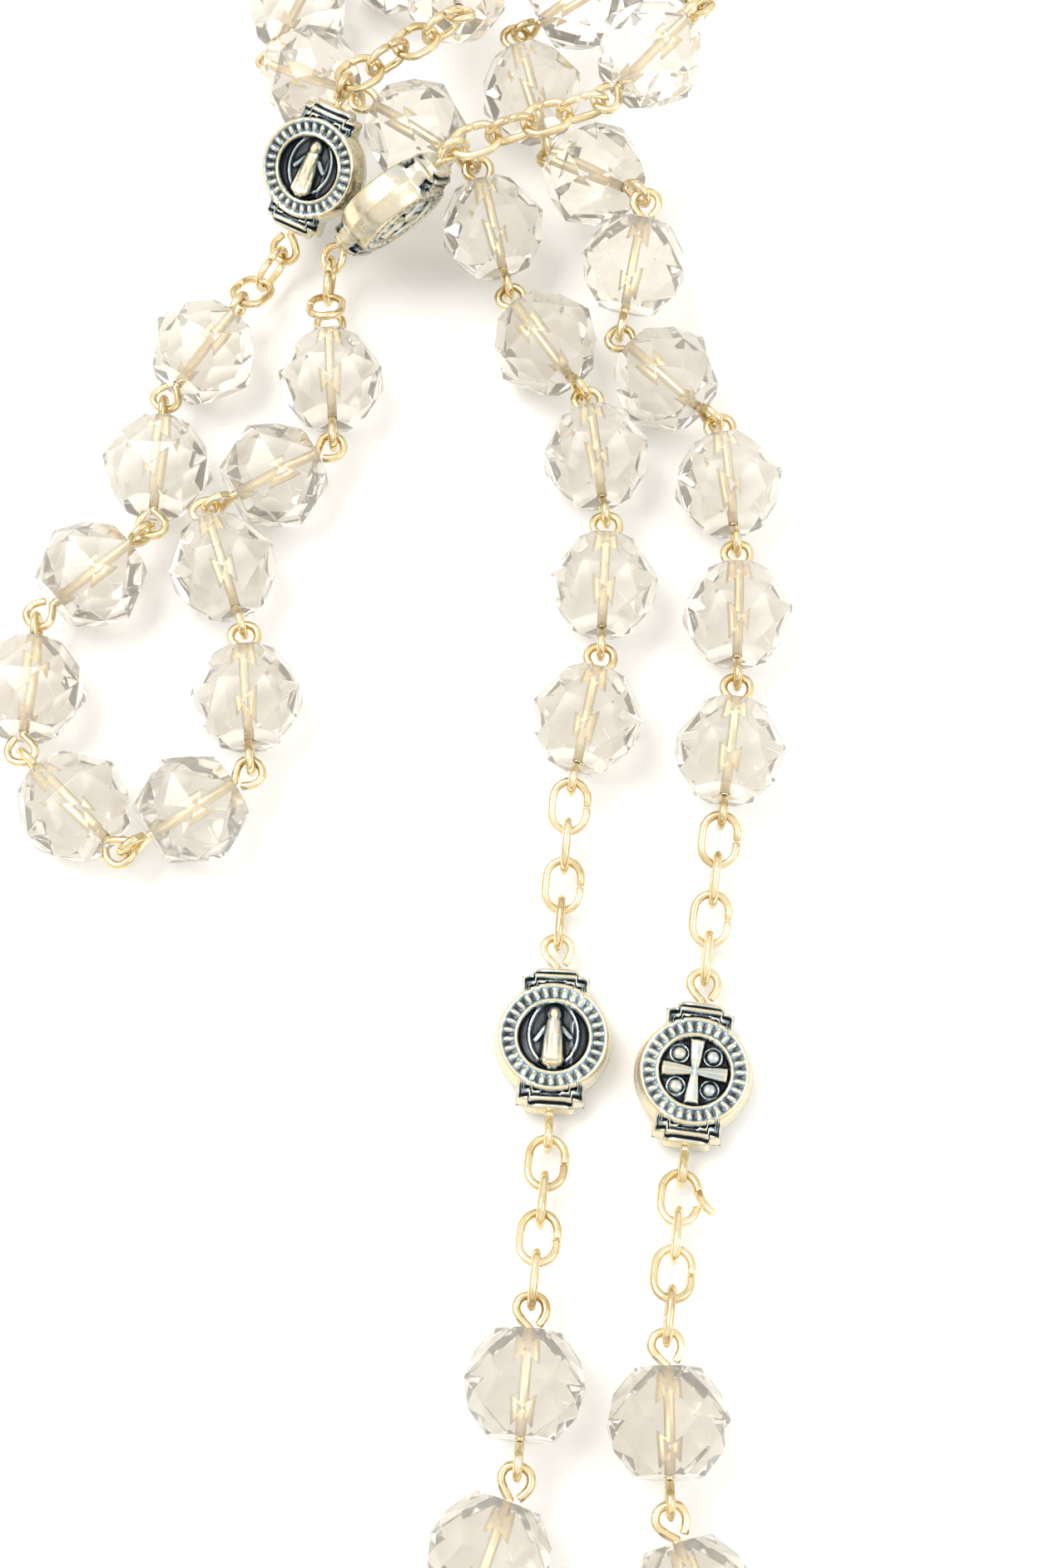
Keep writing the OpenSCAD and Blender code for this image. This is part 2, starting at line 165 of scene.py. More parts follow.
class Soup:
    """Vertices in millimetres, faces, and one shade value per vertex, gathered for one piece."""

    def __init__(self):
        self.verts, self.faces, self.shade, self.count = [], [], [], 0

    def add(self, verts, faces, shade=None):
        verts = np.asarray(verts, float)
        self.faces += [[i + self.count for i in f] for f in faces]
        self.verts.append(verts)
        self.shade.append(np.zeros(len(verts)) if shade is None else np.asarray(shade, float))
        self.count += len(verts)

    def object(self, name, materials, smooth=True):
        verts = np.concatenate(self.verts) * MM
        mesh = bpy.data.meshes.new(name)
        mesh.from_pydata(verts.tolist(), [], self.faces)
        for m in materials:
            mesh.materials.append(m)
        mesh.polygons.foreach_set("use_smooth", [smooth] * len(self.faces))
        shade = mesh.attributes.new("shade", "FLOAT", "POINT")
        shade.data.foreach_set("value", np.concatenate(self.shade).astype(np.float32))
        mesh.update()
        obj = bpy.data.objects.new(name, mesh)
        bpy.context.scene.collection.objects.link(obj)
        return obj


def along(a, b, roll=0.0, shift=0.0):
    """4x4 that lays a piece drawn along +X from a towards b, kept upright, then rolled."""
    d = np.array(b) - np.array(a)
    turn = Matrix.Rotation(math.atan2(d[1], d[0]), 4, "Z")
    tilt = Matrix.Rotation(-math.atan2(d[2], math.hypot(d[0], d[1])), 4, "Y")
    roll = Matrix.Rotation(math.radians(roll), 4, "X")
    m = Matrix.Translation(Vector(a)) @ turn @ tilt @ Matrix.Translation((shift, 0, 0)) @ roll
    return np.array(m)


def place(m, verts):
    return np.asarray(verts) @ m[:3, :3].T + m[:3, 3]


def rounded(points):
    """A smooth open line through the points (Catmull-Rom)."""
    p = np.array(points, float)
    n = len(p)
    out = []
    for i in range(n - 1):
        a, b, c, d = p[max(i - 1, 0)], p[i], p[i + 1], p[min(i + 2, n - 1)]
        for t in np.linspace(0, 1, LINE_STEPS, endpoint=False):
            out.append(0.5 * (2 * b + (c - a) * t + (2 * a - 5 * b + 4 * c - d) * t * t
                              + (3 * b - a - 3 * c + d) * t ** 3))
    return np.array(out + [p[-1]])


def tube(soup, line, radius):
    """Wire along an open line, with cut ends whose edge is slightly rounded."""
    line = np.asarray(line, float)
    tangent = np.gradient(line, axis=0)
    tangent /= np.linalg.norm(tangent, axis=1)[:, None]
    normal = np.cross(tangent[0], [0.31, 0.17, 0.93])
    normal /= np.linalg.norm(normal)
    sides = WIRE_SIDES
    rings, ang = [], np.arange(sides) * 2 * math.pi / sides
    ends = [(0, -1, [(0.0, 0.75), (CUT_EDGE, 1.0)]),
            (len(line) - 1, 1, [(CUT_EDGE, 1.0), (0.0, 0.75)])]
    for k, (p, t) in enumerate(zip(line, tangent)):
        normal = normal - t * normal.dot(t)
        normal /= np.linalg.norm(normal)
        side = np.cross(t, normal)
        circle = np.outer(np.cos(ang), normal) + np.outer(np.sin(ang), side)
        end = [e for e in ends if e[0] == k]
        if not end:
            rings.append(p + circle * radius)
            continue
        for inset, share in end[0][2]:
            rings.append(p - t * end[0][1] * inset + circle * radius * share)
    faces = []
    for r in range(len(rings) - 1):
        for i in range(sides):
            j = (i + 1) % sides
            low, high = r * sides, (r + 1) * sides
            faces.append([low + i, low + j, high + j, high + i])
    faces.append([i for i in reversed(range(sides))])
    faces.append([(len(rings) - 1) * sides + i for i in range(sides)])
    soup.add(np.concatenate(rings), faces)


def eye_line(flip):
    """A pin's teardrop eye in its own plane, tip at x = 0, from the cut end to the neck."""
    side = [(1.9, 0.52), (1.6, 0.72), (1.15, 0.93), (0.66, 0.93), (0.2, 0.66), (0, 0.02),
            (0.2, -0.66), (0.66, -0.95), (1.15, -0.9), (1.66, -0.5), (2.05, -0.08), (2.3, 0)]
    return [(x, y * flip) for x, y in side]


def pin_line(body, flat_first):
    """One wire, cut end to cut end: an eye, the straight run through the bead, an eye."""
    start = -REACH if flat_first else 0.0
    length = body + 2 * (NECK + EYE)
    first = eye_line(1)
    second = [(length - x, y) for x, y in reversed(eye_line(-1))]
    lay = (lambda x, y, flat: (start + x, y, 0) if flat else (start + x, 0, y))
    middle = [(start + 2.3 + (length - 4.6) * f, 0, 0) for f in (0.25, 0.5, 0.75)]
    return ([lay(x, y, flat_first) for x, y in first] + middle
            + [lay(x, y, not flat_first) for x, y in second])


PIN_LINES = {}


def add_pin(soup, a, b, body, flat_first):
    key = (body, flat_first)
    if key not in PIN_LINES:
        PIN_LINES[key] = rounded(pin_line(body, flat_first))
    tube(soup, place(along(a, b), PIN_LINES[key]), WIRE / 2)


def link_line(gap, bend):
    """An oval link's wire from one side of its seam to the other, the seam at y = +half width."""
    w, h = LINK_WID / 2, 1.25
    line = [(LINK_LEN / 2 + gap / 2, w)]
    for deg in range(90, -91, -15):
        a = math.radians(deg)
        line.append((LINK_LEN - h + h * math.cos(a), w * math.sin(a)))
    for deg in range(270, 89, -15):
        a = math.radians(deg)
        line.append((h + h * math.cos(a), w * math.sin(a)))
    line.append((LINK_LEN / 2 - gap / 2, w))
    points = np.array([(x, y, 0.0) for x, y in line])
    if bend:
        tail = points[-1] + [[0.5, 0.3 * bend, 0.1], [1.0, 0.8 * bend, 0.3],
                             [1.5, 1.5 * bend, 0.5]]
        points = np.concatenate([points[1:], tail])
    return points


def add_chain(soup, points, flat_first, open_link=None):
    for i, (a, b) in enumerate(pairs(points)):
        shift = (np.linalg.norm(b - a) - LINK_LEN) / 2
        lies = (i % 2 == 0) == flat_first
        opened = i == open_link
        line = link_line(OPEN_GAP if opened else SEAM_GAP, OPEN_BEND if opened else 0.0)
        if i % 2:
            line[:, 1] *= -1
        m = along(a, b, 0 if lies else 90, shift)
        tube(soup, place(m, line), WIRE / 2)


def bead_mesh():
    """Faceted bead with a narrow bevel between facets, and its bore. Returns verts and faces."""
    h, table_r = BEAD_LEN / 2, TABLE_D / 2
    row_r = (BEAD_D / 2 + (table_r - BEAD_D / 2) * BREAK) / math.cos(math.radians(22.5))
    xs, rs = [-h, -h * BREAK, 0, h * BREAK, h], [table_r, row_r, BEAD_D / 2, row_r, table_r]
    bm = bmesh.new()
    grid = [[bm.verts.new((xs[k], rs[k] * math.cos(a), rs[k] * math.sin(a)))
             for i in range(8) for a in [math.radians(45 * i + (22.5 if k % 2 == 0 else 0))]]
            for k in range(5)]
    bm.faces.new(grid[0][::-1])
    bm.faces.new(grid[4])
    for q, r in [(0, 1), (2, 1), (2, 3), (4, 3)]:
        for i in range(8):
            tri = [grid[q][i], grid[r][(i + 1) % 8], grid[q][(i + 1) % 8]]
            bm.faces.new(tri)
    for q in (0, 2):
        for i in range(8):
            j = (i + 1) % 8
            bm.faces.new([grid[q][i], grid[q + 1][j], grid[q + 2][i], grid[q + 1][i]])
    bmesh.ops.recalc_face_normals(bm, faces=bm.faces)
    bmesh.ops.bevel(bm, geom=list(bm.edges), offset=0.07, segments=2, profile=0.6,
                    affect="EDGES", clamp_overlap=True)
    bm.verts.index_update()
    verts = [tuple(v.co) for v in bm.verts]
    ends, faces = [], []
    for f in bm.faces:
        if abs(f.normal.x) > 0.999 and f.calc_area() > 4:
            ends.append([v.index for v in f.verts])
        else:
            faces.append([v.index for v in f.verts])
    bm.free()
    ring = {}
    for end in ends:
        x = verts[end[0]][0]
        start = len(verts)
        loop = [verts[i] for i in end]
        for y, z in [(p[1], p[2]) for p in loop]:
            s = BORE / 2 / math.hypot(y, z)
            verts.append((x, y * s, z * s))
        n = len(end)
        for i in range(n):
            j = (i + 1) % n
            faces.append([end[i], end[j], start + j, start + i])
        ring[x > 0] = list(range(start, start + n))
    a, b = ring[False], ring[True]
    spin = {round(math.degrees(math.atan2(verts[i][2], verts[i][1])) % 360): i for i in b}
    keys = sorted(spin)
    for i in range(len(a)):
        j = (i + 1) % len(a)
        deg = [round(math.degrees(math.atan2(verts[k][2], verts[k][1])) % 360)
               for k in (a[i], a[j])]
        near = [min(keys, key=lambda k: abs((k - d + 180) % 360 - 180)) for d in deg]
        faces.append([a[j], a[i], spin[near[0]], spin[near[1]]])
    return verts, faces


BEAD = bead_mesh()


def add_bead(soup, a, b, middle):
    soup.add(place(along(a, b, shift=middle), BEAD[0]), BEAD[1])


# ---- materials ----


def nodes_of(name):
    m = bpy.data.materials.new(name)
    m.use_nodes = True
    tree = m.node_tree
    shader = tree.nodes["Principled BSDF"]
    return m, tree, shader


def noise(tree, scale, detail=4.0, rough=0.55):
    where = tree.nodes.new("ShaderNodeTexCoord")
    n = tree.nodes.new("ShaderNodeTexNoise")
    n.inputs["Scale"].default_value = scale
    n.inputs["Detail"].default_value = detail
    n.inputs["Roughness"].default_value = rough
    tree.links.new(where.outputs["Object"], n.inputs["Vector"])
    return n


def ramp(tree, source, stops):
    r = tree.nodes.new("ShaderNodeValToRGB")
    while len(r.color_ramp.elements) < len(stops):
        r.color_ramp.elements.new(0.5)
    for e, (at, colour) in zip(r.color_ramp.elements, stops):
        e.position = at
        e.color = colour if len(colour) == 4 else (*colour, 1)
    tree.links.new(source, r.inputs["Fac"])
    return r


def span(tree, source, low, high, to_low, to_high):
    r = tree.nodes.new("ShaderNodeMapRange")
    for name, value in [("From Min", low), ("From Max", high),
                        ("To Min", to_low), ("To Max", to_high)]:
        r.inputs[name].default_value = value
    tree.links.new(source, r.inputs["Value"])
    return r.outputs["Result"]


def bump(tree, shader, source, strength, distance):
    b = tree.nodes.new("ShaderNodeBump")
    b.inputs["Strength"].default_value = strength
    b.inputs["Distance"].default_value = distance * MM
    tree.links.new(source, b.inputs["Height"])
    tree.links.new(b.outputs["Normal"], shader.inputs["Normal"])


def crystal_material():
    m, tree, s = nodes_of("crystal_glass")
    broad, fine = noise(tree, 90), noise(tree, 1400, 6)
    tint = ramp(tree, broad.outputs["Fac"], [(0.3, (1.0, 0.985, 0.94)), (0.7, (1.0, 0.96, 0.89))])
    tree.links.new(tint.outputs["Color"], s.inputs["Base Color"])
    tree.links.new(span(tree, fine.outputs["Fac"], 0.35, 0.7, 0.0, 0.05), s.inputs["Roughness"])
    s.inputs["IOR"].default_value = 1.54
    s.inputs["Transmission Weight"].default_value = 0.87
    bump(tree, s, broad.outputs["Fac"], 0.15, 0.05)
    return m


def gold_material():
    m, tree, s = nodes_of("gold_wire")
    broad, fine = noise(tree, 260), noise(tree, 3200, 5)
    tint = ramp(tree, broad.outputs["Fac"],
                [(0.25, (0.5, 0.36, 0.17)), (0.5, (0.82, 0.69, 0.43)), (0.8, (0.97, 0.91, 0.73))])
    tree.links.new(tint.outputs["Color"], s.inputs["Base Color"])
    tree.links.new(span(tree, fine.outputs["Fac"], 0.3, 0.7, 0.08, 0.26), s.inputs["Roughness"])
    s.inputs["Metallic"].default_value = 1.0
    bump(tree, s, fine.outputs["Fac"], 0.2, 0.02)
    return m


def silver_material():
    """Antique silver: dark in the hollows, bright and gold-worn on what stands proud."""
    m, tree, s = nodes_of("antique_silver")
    depth = tree.nodes.new("ShaderNodeAttribute")
    depth.attribute_name = "shade"
    broad, fine = noise(tree, 300, 5), noise(tree, 2600, 6)
    add = tree.nodes.new("ShaderNodeMath")
    add.operation = "ADD"
    tree.links.new(depth.outputs["Fac"], add.inputs[0])
    tree.links.new(span(tree, broad.outputs["Fac"], 0.3, 0.7, -0.14, 0.14), add.inputs[1])
    tint = ramp(tree, add.outputs[0],
                [(0.12, (0.012, 0.013, 0.016)), (0.36, (0.09, 0.1, 0.11)),
                 (0.55, (0.32, 0.42, 0.46)), (0.74, (0.56, 0.63, 0.63)),
                 (0.95, (0.78, 0.68, 0.48))])
    tree.links.new(tint.outputs["Color"], s.inputs["Base Color"])
    tree.links.new(span(tree, fine.outputs["Fac"], 0.3, 0.7, 0.16, 0.38), s.inputs["Roughness"])
    s.inputs["Metallic"].default_value = 1.0
    bump(tree, s, fine.outputs["Fac"], 0.35, 0.04)
    return m


def floor_material():
    m, tree, s = nodes_of("floor_white")
    s.inputs["Base Color"].default_value = (0.93, 0.93, 0.93, 1)
    s.inputs["Roughness"].default_value = 0.6
    return m


CRYSTAL, GOLD, SILVER = crystal_material(), gold_material(), silver_material()


# ---- relief plates: medal beads and centrepiece ----


def smooth(lo, hi, x):
    t = np.clip((x - lo) / (hi - lo), 0, 1)
    return t * t * (3 - 2 * t)


def capsule(x, y, a, b, ra, rb):
    """Height of a tapered rounded bar from a to b above its own plane."""
    ax, ay = a
    dx, dy = b[0] - ax, b[1] - ay
    t = np.clip(((x - ax) * dx + (y - ay) * dy) / (dx * dx + dy * dy), 0, 1)
    r = ra + (rb - ra) * t
    d2 = (x - ax - dx * t) ** 2 + (y - ay - dy * t) ** 2
    return np.sqrt(np.maximum(r * r - d2, 0))


def blob(x, y, cx, cy, rx, ry, h):
    return h * np.sqrt(np.maximum(1 - ((x - cx) / rx) ** 2 - ((y - cy) / ry) ** 2, 0))


def robed_figure(u, v, size):
    """Relief of a plain robed figure, v up its height, size its whole height; 0 off the figure."""
    u, v = u / size, v / size
    body = 0.9 * capsule(u, v, (0, 0.2), (0, -0.36), 0.13, 0.19)
    folds = 1 - 0.22 * (0.5 + 0.5 * np.cos(u * 62)) * smooth(0.12, -0.1, v)
    h = body * folds
    h = np.maximum(h, 0.8 * capsule(u, v, (-0.12, 0.14), (-0.27, -0.06), 0.06, 0.045))
    h = np.maximum(h, 0.8 * capsule(u, v, (0.12, 0.14), (0.26, 0.0), 0.06, 0.045))
    h = np.maximum(h, 0.6 * capsule(u, v, (0.3, 0.26), (0.3, -0.44), 0.022, 0.022))
    head = blob(u, v, 0, 0.34, 0.085, 0.11, 0.15)
    hood = blob(u, v, 0, 0.345, 0.125, 0.15, 0.1)
    h = np.maximum(h, np.maximum(head, hood))
    h = h + 0.016 * np.exp(-((u / 0.014) ** 2 + ((v - 0.335) / 0.03) ** 2))
    h = h - 0.012 * np.exp(-(((np.abs(u) - 0.034) / 0.018) ** 2 + ((v - 0.362) / 0.012) ** 2))
    return np.maximum(h, 0) * size


def cross_relief(u, v, size):
    """A flared cross with a boss in each quarter."""
    arm = size * 0.075
    long, wide = np.abs(v), np.abs(u)
    h = np.zeros_like(u)
    for a, b in ((long, wide), (wide, long)):
        half = arm + 0.11 * a
        inside = smooth(0, 0.12, half - b) * smooth(0, 0.12, size * 0.5 - a)
        h = np.maximum(h, inside * (0.32 + 0.2 * (1 - b / np.maximum(half, 1e-6)).clip(0, 1)))
    for sx in (-1, 1):
        for sy in (-1, 1):
            h = np.maximum(h, blob(u, v, sx * size * 0.25, sy * size * 0.25,
                                   size * 0.11, size * 0.11, 0.42))
            ring = np.hypot(u - sx * size * 0.25, v - sy * size * 0.25)
            h = np.maximum(h, 0.22 * np.exp(-((ring - size * 0.135) / 0.07) ** 2))
    return h


def medal_face(x, y, figure):
    """Height of one face of a medal bead above its mid plane, at x along the wire."""
    r = np.hypot(x, y)
    a = np.arctan2(y, x)
    disc = 1.25 + 0.12 * smooth(3.95, 3.6, r)
    disc = disc + 0.2 * np.exp(-((r - 3.55) / 0.14) ** 2) + 0.2 * np.exp(-((r - 2.5) / 0.12) ** 2)
    marks = 0.5 + 0.5 * np.cos(a * 30)
    band = np.exp(-((r - 3.05) / 0.26) ** 2)
    disc = disc + 0.3 * band * marks ** 1.5 - 0.08 * band
    inner = smooth(2.45, 2.2, r)
    disc = disc - 0.32 * inner
    if figure:
        top = robed_figure(y, -x - 0.05, 4.3)
        niche = 0.2 * np.exp(-((np.hypot(y / 0.8, (x + 0.25) / 1.05) - 2.05) / 0.13) ** 2) * inner
        disc = disc + np.minimum(top * 1.25, 0.66) * inner + niche
    else:
        disc = disc + cross_relief(y, x, 4.5) * smooth(2.4, 2.25, r)
    disc = disc - 1.1 * smooth(3.72, 4.0, r)
    e = np.abs(x)
    collar_1 = 1.42 * np.sqrt(np.maximum(1 - (y / 2.3) ** 4, 0)) * smooth(4.5, 4.4, e)
    collar_2 = 1.12 * np.sqrt(np.maximum(1 - (y / 1.6) ** 4, 0)) * smooth(5.0, 4.9, e)
    groove = 0.25 * np.exp(-((e - 4.42) / 0.08) ** 2)
    collars = np.maximum(collar_1 - 0.3 * np.exp(-((e - 3.98) / 0.1) ** 2), collar_2) - groove
    outside = np.maximum(collars, np.where(r < 4.0, disc, 0))
    return np.where(r < 3.86, np.maximum(disc, 0.15), outside)


def outline_of(corners, count, disc):
    """Radius of a star-shaped outline at each of count headings: a disc with bars on it."""
    a = np.arange(count) * 2 * math.pi / count
    radius = np.full(count, float(disc))
    for heading, reach, half in corners:
        d = a - math.radians(heading)
        c, s = np.cos(d), np.abs(np.sin(d))
        with np.errstate(divide="ignore"):
            bar = np.minimum(np.where(c > 0, reach / np.maximum(c, 1e-6), 0),
                             half / np.maximum(s, 1e-6))
        radius = np.maximum(radius, np.where(c > 0, bar, 0))
    return a, radius


def edge_radius(outline, x, y):
    """The outline's radius at the heading of each point."""
    headings, radius = outline
    return np.interp(np.arctan2(y, x) % (2 * math.pi), np.append(headings, 2 * math.pi),
                     np.append(radius, radius[0]))


def plate(soup, m, outline, faces_of, rings, level_of):
    """A closed plate with a relief on each side, faces_of giving side +1's and -1's height."""
    a, radius = outline
    n = len(a)
    s = np.concatenate([[0.0], np.linspace(0.03, 0.9, rings), [0.93, 0.96, 0.98, 0.992, 1.0]])
    x = np.outer(s[1:], radius * np.cos(a)).ravel()
    y = np.outer(s[1:], radius * np.sin(a)).ravel()
    x, y = np.concatenate([[0.0], x]), np.concatenate([[0.0], y])
    for side, height in faces_of.items():
        z = height(x, y)
        near = sum(height(x + 0.2 * math.cos(t), y + 0.2 * math.sin(t))
                   for t in np.arange(8) * math.pi / 4) / 8
        shade = level_of(z) + (z - near) * 3.0
        share = np.concatenate([[0.0], np.repeat(s[1:], n)])
        shade = np.where(share > RIM_FROM, RIM_SHADE, shade)
        verts = np.stack([x, y, z * side], axis=1)
        faces = []
        rows = len(s) - 1
        for i in range(n):
            j = (i + 1) % n
            faces.append([0, 1 + i, 1 + j])
            for k in range(rows - 1):
                p = 1 + k * n
                faces.append([p + i, p + n + i, p + n + j, p + j])
        if side < 0:
            faces = [f[::-1] for f in faces]
        soup.add(place(m, verts), faces, shade)


def weld(obj, distance):
    bm = bmesh.new()
    bm.from_mesh(obj.data)
    bmesh.ops.remove_doubles(bm, verts=bm.verts, dist=distance * MM)
    bmesh.ops.holes_fill(bm, edges=[e for e in bm.edges if e.is_boundary])
    bmesh.ops.recalc_face_normals(bm, faces=bm.faces)
    bm.to_mesh(obj.data)
    bm.free()


MEDAL_OUTLINE = outline_of([(0, 5.0, 1.6), (180, 5.0, 1.6), (0, 4.5, 2.3), (180, 4.5, 2.3)],
                           160, 4.0)


def medal_height(figure):
    def height(x, y):
        z = medal_face(x, y, figure)
        r = np.hypot(x, y)
        edge = edge_radius(MEDAL_OUTLINE, x, y)
        rim = np.clip((edge - r) / 0.32, 0, 1)
        return z * np.sqrt(1 - (1 - rim) ** 2)
    return height


FIGURE_FACE, CROSS_FACE = medal_height(True), medal_height(False)


def medal_object(name, v, flat_first, roll):
    middle = (-REACH if flat_first else 0) + MEDAL_LEN / 2 + NECK + EYE
    soup = Soup()
    faces_of = {1: FIGURE_FACE, -1: CROSS_FACE}
    plate(soup, along(v[0], v[1], roll, middle), MEDAL_OUTLINE, faces_of, 44,
          lambda z: 0.5 + (z - 1.3) * 0.9)
    obj = soup.object(name + "_relief", [SILVER])
    weld(obj, 0.012)
    return obj


# ---- one visual piece for each CAD node ----


def finish_piece(obj, node):
    body = next(b for b, members in BODIES.items() if node in members)
    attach(obj, body)
    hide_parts(node)


BODIES = frame["record"]["behaviour"]["bodies"]
BEAD_UP = BEAD_LEN / 2 + NECK + EYE
BEAD_FLAT = BEAD_UP - REACH

BEAD_RUNS = {
    "decade_2_upper_beads": (dec_2_up, False), "decade_4_upper_beads": (dec_4_up, False),
    "decade_2_lower_beads": (pairs(dec_2_low), True),
    "decade_1_beads_a": (pairs(dec_1[:6]), True), "decade_1_beads_b": (pairs(dec_1[5:]), True),
    "decade_4_lower_beads": (pairs(dec_4_low), True),
    "decade_5_beads_a": (pairs(dec_5[:6]), True), "decade_5_beads_b": (pairs(dec_5[5:]), True),
    "decade_3_beads_a": (pairs(dec_3[:4]), False), "decade_3_beads_b": (pairs(dec_3[3:7]), False),
    "decade_3_beads_c": (pairs(dec_3[6:]), False),
    "drop_bead_1": (pairs(drop_beads[0:2]), False), "drop_bead_2": (pairs(drop_beads[1:3]), False),
    "drop_bead_3": (pairs(drop_beads[2:4]), False),
}
CHAINS = {
    "chain_2_top": (ch_2_top, False), "chain_4_top": (ch_4_top, False),
    "chain_2_bottom": (ch_2_bot, True), "chain_1_top": (ch_1_top, True),
    "chain_1_bottom": (ch_1_bot, True), "chain_4_bottom": (ch_4_bot, True),
    "chain_5_top": (ch_5_top, True), "chain_5_bottom": (ch_5_bot, True),
    "chain_3_first": (ch_3_first, False), "chain_3_last": (ch_3_last, False),
    "chain_drop_1": (drop_1, False), "chain_drop_2": (drop_2, False),
    "chain_drop_3": (drop_3, False), "chain_drop_4": (drop_4, False),
}
MEDALS = {
    1: (med_1, True, 0), 2: (med_2, False, 0), 3: (med_3, False, 67),
    4: (med_4, True, 180), 5: (med_5, False, 0), 6: (med_6, False, 180),
}

for node, (units, flat_first) in BEAD_RUNS.items():
    glass, wire = Soup(), Soup()
    for k, (a, b) in enumerate(units):
        add_bead(glass, a, b, BEAD_FLAT if flat_first else BEAD_UP)
        add_pin(wire, a, b, BEAD_LEN, flat_first)
    finish_piece(glass.object(node + "_glass", [CRYSTAL], smooth=False), node)
    pin_node = node.replace("beads", "pins").replace("drop_bead", "drop_pin")
    finish_piece(wire.object(pin_node + "_wire", [GOLD]), pin_node)

for node, (points, flat_first) in CHAINS.items():
    wire = Soup()
    add_chain(wire, points, flat_first, 0 if node == "chain_5_top" else None)
    finish_piece(wire.object(node + "_wire", [GOLD]), node)

for number, (v, flat_first, roll) in MEDALS.items():
    wire = Soup()
    add_pin(wire, v[0], v[1], MEDAL_LEN, flat_first)
    node = f"medal_pin_{number}"
    finish_piece(wire.object(node + "_wire", [GOLD]), node)
    node = f"medal_bead_{number}"
    finish_piece(medal_object(node, v, flat_first, roll), node)


# ---- centrepiece ----


def eye_ring(soup, m, start, z):
    """A round eye whose two ends run back into the plate at x = start."""
    half = [(-0.5, 0.55), (0.1, 0.8), (0.7, 1.12), (1.4, 1.2), (2.05, 0.85), (2.4, 0.3)]
    line = half + [(x, -y) for x, y in reversed(half)]
    tube(soup, place(m, rounded([(start + x, y, z) for x, y in line])), WIRE / 2)


def centre_face(x, y):
    """Height of the centrepiece's face above its flat back."""
    r, a = np.hypot(x, y), np.arctan2(y, x)
    disc = 2.45 + 0.4 * np.exp(-((r - 6.45) / 0.22) ** 2) + 0.35 * np.exp(-((r - 4.9) / 0.18) ** 2)
    band = np.exp(-((r - 5.65) / 0.36) ** 2)
    disc = disc + 0.45 * band * (0.5 + 0.5 * np.cos(a * 40)) ** 1.5 - 0.1 * band
    inner = smooth(4.8, 4.4, r)
    niche = np.hypot(x / 0.78, (y - 0.4) / 1.02)
    disc = disc - 0.5 * inner + 0.3 * np.exp(-((niche - 4.0) / 0.2) ** 2) * inner
    disc = disc + np.minimum(robed_figure(x, y, 8.2) * 1.1, 1.25) * inner
    disc = disc - 0.9 * smooth(6.7, 7.0, r)
    neck = np.zeros_like(x)
    for heading, end, half, height in [(145, 7.9, 2.2, 2.3), (35, 7.9, 2.2, 2.3),
                                       (-90, 7.9, 2.2, 2.3), (-90, 8.85, 1.4, 1.9)]:
        c, s = math.cos(math.radians(heading)), math.sin(math.radians(heading))
        u, w = x * c + y * s, np.abs(-x * s + y * c)
        bar = height * smooth(end, end - 0.25, u) * smooth(half, half - 0.3, w)
        neck = np.maximum(neck, bar - 0.3 * np.exp(-((u - 7.35) / 0.1) ** 2))
    return np.where(r < 6.8, disc, np.maximum(neck, np.where(r < 7.0, disc, 0)))


CENTRE_OUTLINE = outline_of([(145, 7.9, 2.2), (35, 7.9, 2.2), (-90, 7.9, 2.2), (-90, 8.85, 1.4)],
                            224, 7.0)


def centre_height(x, y):
    r = np.hypot(x, y)
    edge = edge_radius(CENTRE_OUTLINE, x, y)
    rim = np.clip((edge - r) / 0.4, 0, 1)
    return 0.25 + (centre_face(x, y) - 0.25) * np.sqrt(1 - (1 - rim) ** 2)


def back_height(x, y):
    r = np.hypot(x, y)
    edge = edge_radius(CENTRE_OUTLINE, x, y)
    return -0.25 * smooth(0.35, 0.0, edge - r)


soup = Soup()
plate(soup, np.eye(4), CENTRE_OUTLINE, {1: centre_height, -1: back_height}, 60,
      lambda z: np.where(z > 0.3, 0.5 + (z - 2.4) * 0.7, 0.62))
centre = soup.object("centrepiece_relief", [SILVER])
weld(centre, 0.02)
finish_piece(centre, "centrepiece")
soup = Soup()
for heading, start in [(145, 7.35), (35, 7.35), (-90, 8.85)]:
    turn = np.array(Matrix.Rotation(math.radians(heading), 4, "Z"))
    eye_ring(soup, turn, start, 1.5)
eyes = soup.object("centrepiece_eyes", [GOLD])
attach(eyes, "centrepiece")

# ---- cross and its figure ----

CROSS_LEN, CROSS_WID, CROSS_T, BAR, EYE_LONG = 35.0, 22.0, 2.5, 4.0, 2.4
ARM_X, KNOB = CROSS_LEN * 0.3, (BAR + 1.6) / 2
at = drop_4[-1]
CROSS = np.array(Matrix.Translation((at[0], at[1], 0)) @ Matrix.Rotation(math.radians(88), 4, "Z")
                 @ Matrix.Translation((EYE_LONG - REACH - 0.2, 0, 0)))


